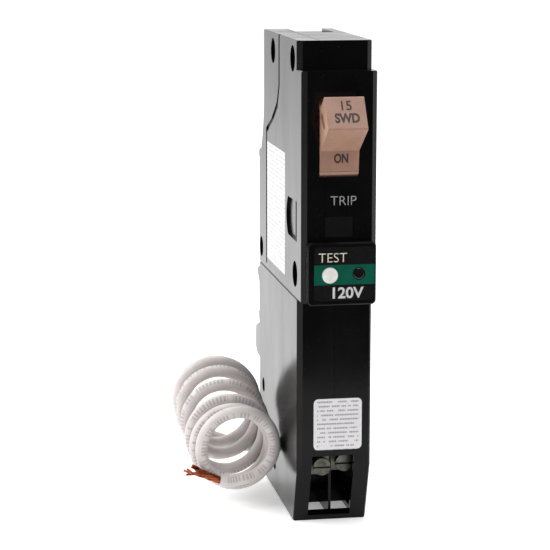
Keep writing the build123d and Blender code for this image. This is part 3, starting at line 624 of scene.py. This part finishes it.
class BREAKER_OT_terminals(bpy.types.Operator):
    """Finish the plated steel, copper, silver and bimetal pieces"""
    bl_idname = "breaker.terminals"
    bl_label = "Metalwork"

    def execute(self, context):
        finish(("zinc_plated_steel", "bare_copper", "silver_contact", "bimetal_strip", "enamelled_wire"))
        return {"FINISHED"}


class BREAKER_OT_electronics(bpy.types.Operator):
    """Finish the boards, their components and the insulating sheets"""
    bl_idname = "breaker.electronics"
    bl_label = "Electronics and insulation"

    def execute(self, context):
        finish(("fibre_sheet", "board_laminate", "component_moulding", "varistor_coating", "bobbin_nylon",
                "ferrite"))
        return {"FINISHED"}


class BREAKER_OT_pigtail(bpy.types.Operator):
    """Make the coiled neutral wire with its bared strands"""
    bl_idname = "breaker.pigtail"
    bl_label = "Neutral pigtail"

    def execute(self, context):
        finish(("wire_insulation",))
        pigtail = chosen()[1]
        wire = spline_piece("neutral_wire", [wire_route()], pigtail.diameter / 2)
        line = centreline(wire)
        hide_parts("cord_coil", "neutral_cord")
        settle_wire(wire, line, pigtail.diameter / 2)
        strands = bared_strands(line[-1], (line[-1] - line[-4]).normalized())
        return {"FINISHED"}


def settle_wire(wire, line, radius):
    """Make the wire a mesh that knows, at each point, how far along and around the wire it is."""
    bpy.ops.object.select_all(action="DESELECT")
    wire.select_set(True)
    bpy.context.view_layer.objects.active = wire
    bpy.ops.object.convert(target="MESH")
    mesh = wire.data
    run = [0.0]
    for a, b in zip(line, line[1:]):
        run.append(run[-1] + (b - a).length)
    ring = 2 * WIRE_FACETS + 4
    along = mesh.attributes.new("along", "FLOAT", "POINT")
    around = mesh.attributes.new("around", "FLOAT", "POINT")
    for index in range(len(mesh.vertices)):
        along.data[index].value = run[min(index // ring, len(run) - 1)]
        around.data[index].value = index % ring / ring
    bpy.ops.object.shade_smooth_by_angle(angle=radians(40))
    settle(wire, "root", NODES["neutral_lead"].data.materials[0])


def bared_strands(start, heading):
    """Twisted copper strands that fan out towards their cut ends."""
    pigtail = chosen()[1]
    radius = pigtail.strand / 2
    heading = (heading + Vector((-0.35, 0.0, 0.42))).normalized()
    across = heading.cross(Vector((0, 1, 0))).normalized()
    upward = across.cross(heading)
    routes = []
    for number in range(STRANDS):
        ring = 0.0 if number == 0 else 2.35 * radius
        length = pigtail.bared * (0.86 + 0.14 * sin(5.1 * number))
        fan = 0.9 * MM * (0.6 + 0.4 * sin(2.3 * number + 1))
        route = []
        for step in range(-2, 13):
            share = step / 12
            angle = 2 * pi * number / (STRANDS - 1) + 3.6 * share
            flare = ring + fan * max(share - 0.45, 0) ** 1.5 * 2.6
            offset = across * cos(angle) * flare + upward * sin(angle) * flare
            route.append(start + heading * length * share + offset)
        routes.append(route)
    strands = spline_piece("copper_strands", routes, radius)
    strands.data.bevel_resolution = 2
    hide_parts("copper_end")
    bpy.ops.object.select_all(action="DESELECT")
    strands.select_set(True)
    bpy.context.view_layer.objects.active = strands
    bpy.ops.object.convert(target="MESH")
    bpy.ops.object.shade_smooth_by_angle(angle=radians(40))
    settle(strands, "root", NODES["copper_end"].data.materials[0])
    return strands


class BREAKER_OT_stage(bpy.types.Operator):
    """Pale floor, soft lights, surroundings and camera"""
    bl_idname = "breaker.stage"
    bl_label = "Studio"

    def execute(self, context):
        scene = context.scene
        scene.view_settings.view_transform = "Standard"
        bpy.ops.object.select_all(action="DESELECT")
        bpy.ops.mesh.primitive_plane_add(size=FLOOR_SIZE, location=FLOOR_PLACE)
        floor = context.object
        floor.name = "studio_floor"
        bpy.ops.object.transform_apply(location=True, rotation=True, scale=True)
        paper, tree, shader, place = begin(
            "studio_paper", Roughness=0.9, Specular_IOR_Level=0.0, Emission_Strength=0.3)
        shader.inputs["Emission Color"].default_value = (1, 1, 1, 1)
        shade = blend(tree, grain(tree, place, 40.0), "#FBFBFB", "#F8F8F8")
        tree.links.new(shade, shader.inputs["Base Color"])
        floor.data.materials.append(paper)
        world = bpy.data.worlds.new("studio_surroundings")
        world.use_nodes = True
        tree = world.node_tree
        background = tree.nodes["Background"]
        background.inputs["Color"].default_value = (1, 1, 1, 1)
        # White all round, but dim in front, where the black mouldings mirror it
        direction = add(tree, "ShaderNodeTexCoord").outputs["Generated"]
        toward = add(tree, "ShaderNodeSeparateXYZ", {0: direction}).outputs["Y"]
        dimmed = spread(tree, toward, 0.12, 1.0, -0.75, -0.05)
        seen = add(tree, "ShaderNodeLightPath").outputs["Is Camera Ray"]
        tree.links.new(maths(tree, "MAXIMUM", dimmed, seen), background.inputs["Strength"])
        scene.world = world
        # Area lights: name, place, aim, size across and watts
        lights = (
            ("key_softbox", (0.15, -0.65, 0.75), (0, 0, 0.06), 0.6, 3.6),
            ("left_softbox", (-0.7, 0.1, 0.5), (0, 0, 0.05), 0.5, 3.0),
            ("top_softbox", (0.0, 0.45, 0.9), (0, 0.3, 0.0), 0.6, 3.0),
        )
        for name, place, aim, size, watts in lights:
            bpy.ops.object.light_add(type="AREA", location=place)
            light = context.object
            light.name = name
            light.data.shape = "DISK"
            light.data.size = size
            light.data.energy = watts
            light.rotation_euler = (Vector(aim) - Vector(place)).to_track_quat("-Z", "Y").to_euler()
        bpy.ops.object.camera_add(location=CAMERA_PLACE, rotation=CAMERA_TURN)
        camera = context.object
        camera.name = "studio_camera"
        camera.data.lens = 131.2
        camera.data.sensor_width = 36
        camera.data.clip_start = 0.01
        scene.camera = camera
        return {"FINISHED"}


OPERATORS = (BREAKER_OT_case, BREAKER_OT_front, BREAKER_OT_handle, BREAKER_OT_words, BREAKER_OT_terminals,
             BREAKER_OT_electronics, BREAKER_OT_pigtail, BREAKER_OT_stage)


class BREAKER_PT_panel(bpy.types.Panel):
    """Lists the pieces and finishes in the sidebar"""
    bl_label = "Breaker"
    bl_space_type = "VIEW_3D"
    bl_region_type = "UI"
    bl_category = "Breaker"

    def draw(self, context):
        for group in chosen():
            box = self.layout.box()
            for name in group.bl_rna.properties.keys():
                if name not in ("rna_type", "name"):
                    box.prop(group, name)
        for operator in OPERATORS:
            self.layout.operator(operator.bl_idname)


CLASSES = (BreakerPrinting, BreakerPigtail, BreakerColours) + OPERATORS + (BREAKER_PT_panel,)


def register():
    """Make the classes and the scene's settings known."""
    for cls in CLASSES:
        bpy.utils.register_class(cls)
    bpy.types.Scene.breaker_printing = bpy.props.PointerProperty(type=BreakerPrinting)
    bpy.types.Scene.breaker_pigtail = bpy.props.PointerProperty(type=BreakerPigtail)
    bpy.types.Scene.breaker_colours = bpy.props.PointerProperty(type=BreakerColours)


def unregister():
    """Take them away again."""
    del bpy.types.Scene.breaker_colours
    del bpy.types.Scene.breaker_pigtail
    del bpy.types.Scene.breaker_printing
    for cls in reversed(CLASSES):
        bpy.utils.unregister_class(cls)


def main():
    """Register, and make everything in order."""
    register()
    bpy.ops.object.select_all(action="DESELECT")
    for operator in OPERATORS:
        group, name = operator.bl_idname.split(".")
        getattr(getattr(bpy.ops, group), name)()


if __name__ == "__main__":
    main()
